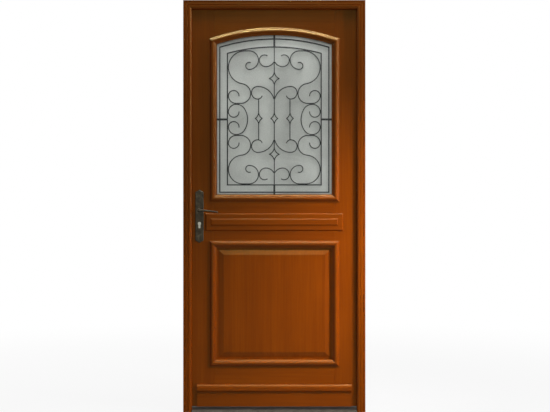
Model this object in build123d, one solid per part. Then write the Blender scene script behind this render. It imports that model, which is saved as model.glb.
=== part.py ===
from build123d import *
import math
import os

# A glazed wooden front door in its frame, in millimetres.
# X runs along the door's width, with the lock at -X and the hinges at +X.
# Y runs through it, with the street side at -Y. Z is up from the floor.
# The origin is on the underside of the threshold, at its middle.

# Frame
FRAME_WIDTH = 954.0
FRAME_HEIGHT = 2160.0
FRAME_FACE = 45.0
LIP_THICKNESS = 18.0
LEAF_LAP = 10.0
EDGE_GAP = 8.0
STOP_GAP = 10.0
FRAME_BEAD_RADIUS = 15.0
QUIRK_WIDTH = 4.0
QUIRK_DEPTH = 2.5
OUTER_QUIRK_INSET = 9.0
INNER_QUIRK_INSET = 24.5
SEAL_WIDTH = 7.0
SEAL_HEIGHT = 4.5
SEAL_INSET = 9.0

# Threshold
SILL_HEIGHT = 20.0
SILL_NOSE_HEIGHT = 13.0
SILL_SLOPE_DEPTH = 24.0
SILL_WALL = 2.5
SILL_CHAMBERS = 3
SILL_RIB_GROOVE = 2.0
SILL_RIB_PITCH = 7.0
SILL_RIB_COUNT = 4
SILL_RIB_DEPTH = 0.8

# Leaf
LEAF_THICKNESS = 57.0
STILE_WIDTH = 126.0
BOTTOM_RAIL_HEIGHT = 235.0
PANEL_OPENING_HEIGHT = 611.0
LOCK_RAIL_HEIGHT = 255.0
TOP_RAIL_CROWN = 131.0
ARCH_RISE = 51.0

# Bolection moulding round the glass and the panel
MOULDING_WIDTH = 42.0
MOULDING_TONGUE = 14.0
MOULDING_HEIGHT = 16.0
MOULDING_INNER_LIP = 1.0
MOULDING_COVE_WIDTH = 11.0
MOULDING_COVE_RISE = 8.0
MOULDING_EDGE_WIDTH = 9.0
MOULDING_EDGE_HEIGHT = 3.0
MITRE_GAP = 0.2

# Raised panel
PANEL_EDGE_THICKNESS = 33.0
PANEL_FIELD_RISE = 10.0
PANEL_MARGIN = 8.0
PANEL_BEVEL = 28.0
PANEL_PLAY = 2.0

# Glazing unit
PANE_THICKNESS = 4.0
PANE_SPACING = 16.0
GLASS_COVER = 10.0
SPACER_WIDTH = 7.0

# Raised tablet on the lock rail
TABLET_OVERHANG = 18.0
TABLET_HEIGHT = 92.0
TABLET_DROP = 58.0
TABLET_THICKNESS = 7.0
TABLET_BEVEL = 5.0
TABLET_FIELD_MARGIN = 28.0
TABLET_FIELD_RISE = 5.0

# Weatherboard at the foot of the leaf
WEATHERBOARD_MARGIN = 25.0
WEATHERBOARD_HEIGHT = 118.0
PLINTH_HEIGHT = 66.0
PLINTH_THICKNESS = 13.0
DRIP_PROJECTION = 20.0
DRIP_NOSE_HEIGHT = 9.0
DRIP_COVE_HEIGHT = 18.0
DRIP_THROAT = 9.0
DRIP_TOP_THICKNESS = 5.0

# Wrought grille over the glass
GRILLE_DEPTH = 8.0
GRILLE_GLASS_GAP = 3.0
BORDER_SIDE_CLEARANCE = 11.5
BORDER_FOOT_CLEARANCE = 7.5
BORDER_HEAD_CLEARANCE = 15.5
BORDER_BAR = 6.5
INNER_FRAME_SIDE_SPACING = 34.0
INNER_FRAME_FOOT_SPACING = 32.5
INNER_FRAME_HEAD_SPACING = 36.0
INNER_FRAME_BAR = 6.0
TIE_WIDTH = 10.0
TIE_END_GAP = 0.1
SCROLL_BAR = 5.0
WELD_BITE = 0.4
GRILLE_MIDDLE = 394.5
SIDE_SCROLL_HALF_HEIGHT = 79.3
SIDE_SCROLL_SHOULDER = 49.8
SIDE_SCROLL_BOW = 8.6
SIDE_SCROLL_CURL = 40.0
SIDE_SCROLL_FLAT = 2.0
LOOP_RADIUS = 52.0
LOOP_FLAT = 24.4
LOOP_CURL = 40.0
SIDE_EYE = 27.8
UPPER_LOBE_RADIUS = 86.8
LOWER_LOBE_RADIUS = 75.3
LOBE_NECK_RADIUS = 48.5
LOBE_EYE = 18.3
HEART_SPAN = 84.2
HEART_CURL = 33.0
HEART_EYE = 24.0
HEART_RAISE = 4.0
HEART_ARRIVAL = 76.0
SIDE_BAR_INSET = 4.5
SMALL_SPAN = 41.5
SMALL_CURL = 34.5
SMALL_EYE = 27.0
SMALL_ARRIVAL = 62.0
UPPER_LOZENGE_RISE = 108.0
LOWER_LOZENGE_DROP = 76.0
MIDDLE_LOZENGE_RISE = 5.0
LARGE_LOZENGE_HALF_WIDTH = 26.0
LARGE_LOZENGE_HALF_HEIGHT = 38.0
SMALL_LOZENGE_HALF_WIDTH = 18.0
SMALL_LOZENGE_HALF_HEIGHT = 34.0

# Lock and handles
HANDLE_BACKSET = 48.5
HANDLE_HEIGHT = 1059.0
LOCK_CENTRES = 70.0
PLATE_WIDTH = 44.0
PLATE_ABOVE_HANDLE = 108.0
PLATE_BELOW_HANDLE = 172.0
PLATE_POINT = 17.0
PLATE_THICKNESS = 5.0
PLATE_CHAMFER = 2.0
SPINDLE_SIDE = 8.0
SPINDLE_SOCKET = 14.0
SPINDLE_HOLE_RADIUS = 9.0
NECK_RADIUS = 8.0
NECK_CLEARANCE = 0.3
JOURNAL_GAP = 0.5
LEVER_STANDOFF = 47.0
LEVER_LENGTH = 99.0
LEVER_DROOP = 10.0
LEVER_HUB_RADIUS = 10.0
LEVER_ROOT_WIDTH = 12.0
LEVER_ROOT_HEIGHT = 12.0
LEVER_TIP_WIDTH = 15.0
LEVER_TIP_HEIGHT = 7.0
CYLINDER_RADIUS = 8.5
CYLINDER_WEB = 10.0
CYLINDER_HEIGHT = 33.0
CYLINDER_PROUD = 2.0
CYLINDER_PLAY = 0.2
PLUG_RADIUS = 6.5
PLUG_RECESS = 0.6
KEYWAY_WIDTH = 2.6
KEYWAY_HEIGHT = 8.5
KEYWAY_DEPTH = 20.0
FACEPLATE_WIDTH = 22.0
FACEPLATE_LENGTH = 240.0
FACEPLATE_THICKNESS = 3.0
FACEPLATE_DROP = 46.0
LATCH_WIDTH = 12.0
LATCH_HEIGHT = 30.0
BOLT_HEIGHT = 38.0
BOLT_LENGTH = 20.0
BOLT_REVEAL = 0.8
STRIKE_WIDTH = 25.0
STRIKE_LENGTH = 190.0
STRIKE_THICKNESS = 2.5
STRIKE_POCKET_DEPTH = 14.0
STRIKE_PLAY = 3.0

# Hinges
LOWER_HINGE_RISE = 222.0
UPPER_HINGE_DROP = 225.0
HINGE_BARREL_RADIUS = 7.5
HINGE_BARREL_GAP = 0.6
HINGE_HALF_LENGTH = 68.0
HINGE_PIN_RADIUS = 4.5
HINGE_PIN_LENGTH = 45.0
HINGE_PIN_CLEARANCE = 0.05
HINGE_SEAT_GAP = 0.3
HINGE_PLATE_THICKNESS = 3.0
HINGE_LEAF_PLATE_WIDTH = 46.0
HINGE_FRAME_PLATE_MARGIN = 3.0
HINGE_PLATE_LENGTH = 60.0

# Places that follow from the sizes above
FRAME_DEPTH = LIP_THICKNESS + STOP_GAP + LEAF_THICKNESS
FRAME_FRONT = -FRAME_DEPTH / 2
FRAME_BACK = FRAME_DEPTH / 2
STOP_Y = FRAME_FRONT + LIP_THICKNESS
LEAF_FRONT = STOP_Y + STOP_GAP
LEAF_BACK = LEAF_FRONT + LEAF_THICKNESS
LEAF_MIDDLE = (LEAF_FRONT + LEAF_BACK) / 2
FRAME_HALF = FRAME_WIDTH / 2
DAYLIGHT_HALF = FRAME_HALF - FRAME_FACE
LEAF_HALF = DAYLIGHT_HALF + LEAF_LAP
REBATE_HALF = LEAF_HALF + EDGE_GAP
REBATE = LEAF_LAP + EDGE_GAP
HEAD_LIP = FRAME_HEIGHT - FRAME_FACE
LEAF_TOP = HEAD_LIP + LEAF_LAP
LEAF_BOTTOM = SILL_HEIGHT + EDGE_GAP
OPENING_HALF = LEAF_HALF - STILE_WIDTH
SIGHT_HALF = OPENING_HALF - MOULDING_TONGUE
PANEL_BOTTOM = LEAF_BOTTOM + BOTTOM_RAIL_HEIGHT
PANEL_TOP = PANEL_BOTTOM + PANEL_OPENING_HEIGHT
GLASS_BOTTOM = PANEL_TOP + LOCK_RAIL_HEIGHT
GLASS_CROWN = LEAF_TOP - TOP_RAIL_CROWN
ARCH_RADIUS = (OPENING_HALF**2 + ARCH_RISE**2) / (2 * ARCH_RISE)
ARCH_CENTRE = GLASS_CROWN - ARCH_RADIUS
SIGHT_RADIUS = ARCH_RADIUS - MOULDING_TONGUE
SIGHT_BOTTOM = GLASS_BOTTOM + MOULDING_TONGUE
GLASS_UNIT = 2 * PANE_THICKNESS + PANE_SPACING
GLASS_FRONT = LEAF_MIDDLE - GLASS_UNIT / 2
GLAZING_TONGUE_DEPTH = GLASS_FRONT - LEAF_FRONT
PANEL_TONGUE_DEPTH = (LEAF_THICKNESS - PANEL_EDGE_THICKNESS) / 2
TABLET_HALF = SIGHT_HALF + MOULDING_WIDTH + TABLET_OVERHANG
WEATHERBOARD_HALF = DAYLIGHT_HALF - WEATHERBOARD_MARGIN
HANDLE_X = -LEAF_HALF + HANDLE_BACKSET
LOCK_Z = HANDLE_HEIGHT - LOCK_CENTRES
LOWER_HINGE = LEAF_BOTTOM + LOWER_HINGE_RISE
UPPER_HINGE = LEAF_TOP - UPPER_HINGE_DROP
HINGE_HEIGHTS = {"lower": LOWER_HINGE, "middle": (LOWER_HINGE + UPPER_HINGE) / 2, "upper": UPPER_HINGE}
HINGE_X = LEAF_HALF + EDGE_GAP / 2
HINGE_Y = LEAF_BACK + HINGE_BARREL_RADIUS + HINGE_BARREL_GAP


def front_plane(y):
    """Sketch plane that faces the street at depth y: sketch X is X and sketch Y is Z."""
    return Plane(origin=(0, y, 0), x_dir=(1, 0, 0), z_dir=(0, -1, 0))


def slab(face, front, back):
    """Solid of a face drawn in X and Z, from depth front to depth back."""
    return extrude(front_plane(back) * face, amount=back - front)


def block(x_low, x_high, y_low, y_high, z_low, z_high):
    """Box between two corners."""
    centre = ((x_low + x_high) / 2, (y_low + y_high) / 2, (z_low + z_high) / 2)
    return Pos(*centre) * Box(x_high - x_low, y_high - y_low, z_high - z_low)


def polygon(*points):
    """Face inside straight lines through the points."""
    return make_face(Polyline(*points, close=True))


def arch_height(radius, x):
    """Height of the arch of that radius at x, about the arch's own centre."""
    return ARCH_CENTRE + math.sqrt(radius**2 - x**2)


def arched_face(half, bottom, radius):
    """Face of the glazed opening's form: square foot, arched head."""
    corner = arch_height(radius, half)
    crown = ARCH_CENTRE + radius
    return make_face(
        Polyline((-half, corner), (-half, bottom), (half, bottom), (half, corner))
        + ThreePointArc((half, corner), (0, crown), (-half, corner))
    )


def mirrored_inside(solid):
    """The same piece on the room side of the leaf."""
    return mirror(solid, about=Plane(origin=(0, LEAF_MIDDLE, 0), z_dir=(0, 1, 0)))


# Frame: two jambs and a head of one rebated section, mitred at the corners


def frame_section():
    """Section of the frame: sketch X is out from the daylight edge, sketch Y is towards the street."""
    outline = polygon(
        (0, -STOP_Y),
        (0, -FRAME_FRONT),
        (FRAME_FACE, -FRAME_FRONT),
        (FRAME_FACE, -FRAME_BACK),
        (REBATE, -FRAME_BACK),
        (REBATE, -STOP_Y),
    )
    bead = outline.vertices().sort_by_distance((0, -FRAME_FRONT, 0))[0]
    section = fillet(bead, FRAME_BEAD_RADIUS)
    for inset in (OUTER_QUIRK_INSET, INNER_QUIRK_INSET):
        middle = FRAME_FACE - inset
        section -= polygon(
            (middle - QUIRK_WIDTH / 2, -FRAME_FRONT),
            (middle, -FRAME_FRONT - QUIRK_DEPTH),
            (middle + QUIRK_WIDTH / 2, -FRAME_FRONT),
        )
    return section


def frame_zone(points):
    """Prism through the whole frame's depth, to cut a mitre."""
    return slab(polygon(*points), FRAME_FRONT, FRAME_BACK)


def make_jamb(side):
    """Jamb on one side: -1 for the lock side, 1 for the hinge side."""
    plane = Plane(origin=(side * DAYLIGHT_HALF, 0, 0), x_dir=(side, 0, 0), z_dir=(0, 0, -side))
    length = FRAME_HEIGHT if side < 0 else -FRAME_HEIGHT
    jamb = extrude(plane * frame_section(), amount=length)
    inner, outer = side * DAYLIGHT_HALF, side * FRAME_HALF
    return jamb & frame_zone([(inner, 0), (outer, 0), (outer, FRAME_HEIGHT), (inner, HEAD_LIP)])


def make_head():
    """Head of the frame, between the mitres."""
    plane = Plane(origin=(-FRAME_HALF, 0, HEAD_LIP), x_dir=(0, 0, 1), z_dir=(1, 0, 0))
    head = extrude(plane * frame_section(), amount=FRAME_WIDTH)
    return head & frame_zone(
        [
            (-DAYLIGHT_HALF, HEAD_LIP),
            (DAYLIGHT_HALF, HEAD_LIP),
            (FRAME_HALF, FRAME_HEIGHT),
            (-FRAME_HALF, FRAME_HEIGHT),
        ]
    )


def make_seal():
    """Rubber strips on the stop, up both jambs and along the head, facing the closed leaf."""
    crest = SEAL_WIDTH / 4
    section = polygon((0, 0), (SEAL_WIDTH, 0), (SEAL_WIDTH - crest, SEAL_HEIGHT), (crest, SEAL_HEIGHT))
    far = DAYLIGHT_HALF + SEAL_INSET
    near = far - SEAL_WIDTH
    top = HEAD_LIP + SEAL_INSET
    strips = []
    for x in (-far, near):
        plane = Plane(origin=(x, STOP_Y, SILL_HEIGHT), x_dir=(1, 0, 0), z_dir=(0, 0, 1))
        strips.append(extrude(plane * section, amount=top - SILL_HEIGHT))
    reach = near - MITRE_GAP
    plane = Plane(origin=(reach, STOP_Y, top - SEAL_WIDTH), x_dir=(0, 0, 1), z_dir=(-1, 0, 0))
    strips.append(extrude(plane * section, amount=2 * reach))
    return Part() + strips


def sill_profile():
    """Section of the threshold: sketch X is Y, sketch Y is Z."""
    outline = polygon(
        (FRAME_FRONT, 0),
        (FRAME_BACK, 0),
        (FRAME_BACK, SILL_HEIGHT),
        (FRAME_FRONT + SILL_SLOPE_DEPTH, SILL_HEIGHT),
        (FRAME_FRONT, SILL_NOSE_HEIGHT),
    )
    chamber_low = FRAME_FRONT + SILL_SLOPE_DEPTH
    pitch = (FRAME_BACK - chamber_low) / SILL_CHAMBERS
    roof = SILL_HEIGHT - SILL_RIB_DEPTH - SILL_WALL
    for n in range(SILL_CHAMBERS):
        low = chamber_low + n * pitch
        high = low + pitch - SILL_WALL
        outline -= polygon((low, SILL_WALL), (high, SILL_WALL), (high, roof), (low, roof))
    for n in range(SILL_RIB_COUNT):
        low = chamber_low + SILL_RIB_PITCH * (n + 0.5)
        high = low + SILL_RIB_GROOVE
        floor = SILL_HEIGHT - SILL_RIB_DEPTH
        outline -= polygon((low, floor), (high, floor), (high, SILL_HEIGHT), (low, SILL_HEIGHT))
    return outline


def make_threshold():
    """Hollow extruded threshold, notched round the feet of the jambs."""
    plane = Plane(origin=(-REBATE_HALF, 0, 0), x_dir=(0, 1, 0), z_dir=(1, 0, 0))
    sill = extrude(plane * sill_profile(), amount=2 * REBATE_HALF)
    for side in (-1, 1):
        ends = sorted((side * DAYLIGHT_HALF, side * REBATE_HALF))
        sill -= block(*ends, FRAME_FRONT, STOP_Y, 0, SILL_HEIGHT)
    return sill


# Leaf: stiles, rails and the raised panel


def lock_profile(play):
    """Outline of the cylinder: a round head over a narrower web, grown by play."""
    head = Pos(HANDLE_X, LOCK_Z) * Circle(CYLINDER_RADIUS + play)
    foot = LOCK_Z + CYLINDER_RADIUS - CYLINDER_HEIGHT
    half = CYLINDER_WEB / 2
    web = Pos(HANDLE_X, foot + half) * Circle(half + play)
    body = polygon(
        (HANDLE_X - half - play, LOCK_Z),
        (HANDLE_X - half - play, foot + half),
        (HANDLE_X + half + play, foot + half),
        (HANDLE_X + half + play, LOCK_Z),
    )
    return head + body + web


def faceplate_outline(play):
    """Outline of the lock's front on the leaf's edge: sketch X is Y, sketch Y is Z."""
    middle = HANDLE_HEIGHT - FACEPLATE_DROP
    return Pos(LEAF_MIDDLE, middle) * SlotOverall(
        FACEPLATE_LENGTH + 2 * play, FACEPLATE_WIDTH + 2 * play, rotation=90
    )


def edge_slab(face, x_low, x_high):
    """Solid of a face drawn in Y and Z, from x_low to x_high."""
    plane = Plane(origin=(x_low, 0, 0), x_dir=(0, 1, 0), z_dir=(1, 0, 0))
    return extrude(plane * face, amount=x_high - x_low)


def bolt_faces(play):
    """Outlines of the latch and the dead bolt on the leaf's edge, in Y and Z, grown by play."""
    for height, middle in ((LATCH_HEIGHT, HANDLE_HEIGHT), (BOLT_HEIGHT, LOCK_Z - CYLINDER_HEIGHT)):
        yield Pos(LEAF_MIDDLE, middle) * Rectangle(LATCH_WIDTH + 2 * play, height + 2 * play)


def make_lock_stile():
    """Stile at the lock side, bored for the spindle, the cylinder and the lock's front."""
    stile = block(-LEAF_HALF, -OPENING_HALF, LEAF_FRONT, LEAF_BACK, LEAF_BOTTOM, LEAF_TOP)
    spindle_hole = Pos(HANDLE_X, HANDLE_HEIGHT) * Circle(SPINDLE_HOLE_RADIUS)
    stile -= slab(spindle_hole, LEAF_FRONT, LEAF_BACK)
    stile -= slab(lock_profile(CYLINDER_PLAY), LEAF_FRONT, LEAF_BACK)
    stile -= edge_slab(faceplate_outline(0), -LEAF_HALF, -LEAF_HALF + FACEPLATE_THICKNESS)
    for face in bolt_faces(0):
        stile -= edge_slab(face, -LEAF_HALF, -LEAF_HALF + BOLT_LENGTH)
    return stile


def make_hinge_stile():
    """Stile at the hinge side."""
    return block(OPENING_HALF, LEAF_HALF, LEAF_FRONT, LEAF_BACK, LEAF_BOTTOM, LEAF_TOP)


def make_rail(bottom, top):
    """Plain rail between the stiles."""
    return block(-OPENING_HALF, OPENING_HALF, LEAF_FRONT, LEAF_BACK, bottom, top)


def make_top_rail():
    """Top rail with the arched underside."""
    rail = make_rail(arch_height(ARCH_RADIUS, OPENING_HALF), LEAF_TOP)
    return rail - slab(arched_face(OPENING_HALF, GLASS_BOTTOM, ARCH_RADIUS), LEAF_FRONT, LEAF_BACK)


def panel_face(inset):
    """Rectangle of the panel, that far inside the moulding's sight line."""
    half = SIGHT_HALF - inset
    low = PANEL_BOTTOM + MOULDING_TONGUE + inset
    high = PANEL_TOP - MOULDING_TONGUE - inset
    return polygon((-half, low), (half, low), (half, high), (-half, high))


def make_panel():
    """Raised panel, bevelled to a flat field on both sides."""
    front = LEAF_FRONT + PANEL_TONGUE_DEPTH
    back = LEAF_BACK - PANEL_TONGUE_DEPTH
    edge = panel_face(PANEL_PLAY - MOULDING_TONGUE)
    panel = slab(edge, front, back)
    foot = front_plane(front) * panel_face(PANEL_MARGIN)
    field = front_plane(front - PANEL_FIELD_RISE) * panel_face(PANEL_MARGIN + PANEL_BEVEL)
    raised = loft([foot, field], ruled=True)
    return panel + raised + mirrored_inside(raised)


# Mouldings: a bolection section run round each opening and mitred


def moulding_section(tongue_depth):
    """Section of the moulding: sketch X is out from the sight line, sketch Y is proud of the leaf."""
    ridge_end = MOULDING_WIDTH - MOULDING_EDGE_WIDTH
    ridge_foot = MOULDING_INNER_LIP + MOULDING_COVE_RISE
    cove_bow = (0.58 * MOULDING_COVE_WIDTH, MOULDING_INNER_LIP + 0.34 * MOULDING_COVE_RISE)
    edge_bow = (
        ridge_end + 0.36 * MOULDING_EDGE_WIDTH,
        MOULDING_EDGE_HEIGHT + 0.3 * (ridge_foot - MOULDING_EDGE_HEIGHT),
    )
    return make_face(
        Line((0, -tongue_depth), (0, MOULDING_INNER_LIP))
        + ThreePointArc((0, MOULDING_INNER_LIP), cove_bow, (MOULDING_COVE_WIDTH, ridge_foot))
        + ThreePointArc(
            (MOULDING_COVE_WIDTH, ridge_foot),
            ((MOULDING_COVE_WIDTH + ridge_end) / 2, MOULDING_HEIGHT),
            (ridge_end, ridge_foot),
        )
        + ThreePointArc((ridge_end, ridge_foot), edge_bow, (MOULDING_WIDTH, MOULDING_EDGE_HEIGHT))
        + Polyline(
            (MOULDING_WIDTH, MOULDING_EDGE_HEIGHT),
            (MOULDING_WIDTH, 0),
            (MOULDING_TONGUE, 0),
            (MOULDING_TONGUE, -tongue_depth),
            (0, -tongue_depth),
        )
    )


def straight_moulding(start, run, outward, length, tongue_depth):
    """Length of moulding from start along run, with its section's foot on the sight line."""
    plane = Plane(origin=start, x_dir=outward, z_dir=run)
    return extrude(plane * moulding_section(tongue_depth), amount=length)


def mitre_zone(inner_a, outer_a, inner_b, outer_b):
    """Prism between two mitre lines, each from the sight corner to the outer corner."""
    zone = polygon(inner_a, outer_a, outer_b, inner_b)
    return slab(offset(zone, amount=-MITRE_GAP / 2, kind=Kind.INTERSECTION), 2 * FRAME_FRONT, LEAF_BACK)


def moulding_ring(low, high, tongue_depth, arched):
    """The four mitred lengths round an opening whose sight line runs from low to high."""
    reach = MOULDING_WIDTH
    wide = SIGHT_HALF + reach
    inner = {}
    outer = {}
    for side in (-1, 1):
        inner[side, "low"] = (side * SIGHT_HALF, low)
        outer[side, "low"] = (side * wide, low - reach)
        if arched:
            inner[side, "high"] = (side * SIGHT_HALF, arch_height(SIGHT_RADIUS, SIGHT_HALF))
            outer[side, "high"] = (side * wide, arch_height(SIGHT_RADIUS + reach, wide))
        else:
            inner[side, "high"] = (side * SIGHT_HALF, high)
            outer[side, "high"] = (side * wide, high + reach)
    foot, tall = low - reach, high + reach
    bar = straight_moulding((-SIGHT_HALF, LEAF_FRONT, foot), (0, 0, 1), (-1, 0, 0), tall - foot, tongue_depth)
    lock_side = bar & mitre_zone(inner[-1, "low"], outer[-1, "low"], inner[-1, "high"], outer[-1, "high"])
    hinge_side = mirror(lock_side, about=Plane.YZ)
    bar = straight_moulding((wide, LEAF_FRONT, low), (-1, 0, 0), (0, 0, -1), 2 * wide, tongue_depth)
    base = bar & mitre_zone(inner[-1, "low"], outer[-1, "low"], inner[1, "low"], outer[1, "low"])
    if arched:
        plane = Plane(origin=(0, LEAF_FRONT, ARCH_CENTRE + SIGHT_RADIUS), x_dir=(0, 0, 1), z_dir=(1, 0, 0))
        axis = Axis((0, 0, ARCH_CENTRE), (0, 1, 0))
        half_turn = math.degrees(math.asin(wide / SIGHT_RADIUS))
        bar = revolve(plane * moulding_section(tongue_depth), axis, 2 * half_turn).rotate(axis, -half_turn)
        crown = ARCH_CENTRE + SIGHT_RADIUS + 2 * reach
        ends = [inner[-1, "high"], outer[-1, "high"], (-wide, crown), (wide, crown)]
        zone = polygon(*ends, outer[1, "high"], inner[1, "high"])
        zone = offset(zone, amount=-MITRE_GAP / 2, kind=Kind.INTERSECTION)
        below = arched_face(SIGHT_HALF, low, SIGHT_RADIUS - MOULDING_TONGUE)
        head = bar & slab(zone + below, 2 * FRAME_FRONT, LEAF_BACK)
    else:
        bar = straight_moulding((-wide, LEAF_FRONT, high), (1, 0, 0), (0, 0, 1), 2 * wide, tongue_depth)
        head = bar & mitre_zone(inner[-1, "high"], outer[-1, "high"], inner[1, "high"], outer[1, "high"])
    return {"lock_side": lock_side, "hinge_side": hinge_side, "base": base, "head": head}


# Glass: two panes held apart by a spacer


def glass_face(inset):
    """Outline of the glass, that far inside its own edge."""
    cover = GLASS_COVER - inset
    return arched_face(SIGHT_HALF + cover, SIGHT_BOTTOM - cover, SIGHT_RADIUS + cover)


def make_pane(front):
    """Sheet of glass whose street face is at that depth."""
    return slab(glass_face(0), front, front + PANE_THICKNESS)


def make_spacer():
    """Ring between the panes."""
    front = GLASS_FRONT + PANE_THICKNESS
    return slab(glass_face(0) - glass_face(SPACER_WIDTH), front, front + PANE_SPACING)


# Applied tablet and weatherboard


def make_tablet():
    """Raised tablet across the lock rail, with a raised field."""
    middle = SIGHT_BOTTOM - MOULDING_WIDTH - TABLET_DROP - TABLET_HEIGHT / 2
    front = LEAF_FRONT - TABLET_THICKNESS
    field_length = 2 * (TABLET_HALF - TABLET_FIELD_MARGIN)
    field_height = TABLET_HEIGHT - 2 * TABLET_FIELD_MARGIN
    board = slab(Pos(0, middle) * Rectangle(2 * TABLET_HALF, TABLET_HEIGHT), front, LEAF_FRONT)
    board = chamfer(board.faces().sort_by(Axis.Y)[0].edges(), TABLET_BEVEL)
    field = slab(
        Pos(0, middle) * Rectangle(field_length, field_height), front - TABLET_FIELD_RISE, front
    )
    field = chamfer(field.faces().sort_by(Axis.Y)[0].edges(), TABLET_FIELD_RISE * 0.8)
    return board + field


def weatherboard_section():
    """Section of the weatherboard: sketch X is proud of the leaf, sketch Y is up."""
    top = LEAF_BOTTOM + WEATHERBOARD_HEIGHT
    plinth_top = LEAF_BOTTOM + PLINTH_HEIGHT
    nose_low = plinth_top + DRIP_COVE_HEIGHT
    nose_high = nose_low + DRIP_NOSE_HEIGHT
    throat_bow = (DRIP_THROAT + 0.28 * (DRIP_PROJECTION - DRIP_THROAT), nose_low - 0.3 * DRIP_COVE_HEIGHT)
    slope_bow = (
        DRIP_TOP_THICKNESS + 0.72 * (DRIP_PROJECTION - DRIP_TOP_THICKNESS),
        nose_high + 0.62 * (top - nose_high),
    )
    return make_face(
        Polyline((0, top), (0, LEAF_BOTTOM), (PLINTH_THICKNESS, LEAF_BOTTOM), (PLINTH_THICKNESS, plinth_top))
        + Line((PLINTH_THICKNESS, plinth_top), (DRIP_THROAT, plinth_top))
        + ThreePointArc((DRIP_THROAT, plinth_top), throat_bow, (DRIP_PROJECTION, nose_low))
        + Line((DRIP_PROJECTION, nose_low), (DRIP_PROJECTION, nose_high))
        + ThreePointArc((DRIP_PROJECTION, nose_high), slope_bow, (DRIP_TOP_THICKNESS, top))
        + Line((DRIP_TOP_THICKNESS, top), (0, top))
    )


def make_weatherboard():
    """Plinth board with a drip moulding along its head."""
    plane = Plane(origin=(WEATHERBOARD_HALF, LEAF_FRONT, 0), x_dir=(0, -1, 0), z_dir=(-1, 0, 0))
    return extrude(plane * weatherboard_section(), amount=2 * WEATHERBOARD_HALF)


# Grille: bars drawn flat in X and Z, as runs of tangent arcs


class BarPath:
    """A flat bar drawn by walking along its middle line: each step is a line or a tangent arc."""

    def __init__(self, start, heading):
        self.point = Vector(*start)
        self.heading = heading
        self.left = []
        self.right = []

    def side_point(self, side):
        """Point on the bar's edge beside the walker: side is 1 for left and -1 for right."""
        turned = math.radians(self.heading + 90 * side)
        return self.point + Vector(math.cos(turned), math.sin(turned)) * (SCROLL_BAR / 2)

    def line(self, length):
        """Walk straight on."""
        starts = self.side_point(1), self.side_point(-1)
        along = math.radians(self.heading)
        self.point += Vector(math.cos(along), math.sin(along)) * length
        self.left.append(Line(starts[0], self.side_point(1)))
        self.right.append(Line(starts[1], self.side_point(-1)))
        return self

    def arc(self, radius, turn):
        """Walk round an arc: a positive turn bears left, a negative one right."""
        bend = 1 if turn > 0 else -1
        inward = math.radians(self.heading + 90 * bend)
        centre = self.point + Vector(math.cos(inward), math.sin(inward)) * radius
        start_angle = self.heading - 90 * bend
        for edges, side in ((self.left, 1), (self.right, -1)):
            edges.append(CenterArc(centre, radius - side * bend * SCROLL_BAR / 2, start_angle, turn))
        self.heading += turn
        outward = math.radians(self.heading - 90 * bend)
        self.point = centre + Vector(math.cos(outward), math.sin(outward)) * radius
        return self

    def face(self):
        """The bar's flat outline."""
        first = Line(self.left[0] @ 0, self.right[0] @ 0)
        last = Line(self.left[-1] @ 1, self.right[-1] @ 1)
        return make_face(Curve() + self.left + self.right + [first, last])


def touching():
    """Distance between the middle lines of two scroll bars that are welded side by side."""
    return SCROLL_BAR - WELD_BITE


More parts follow.
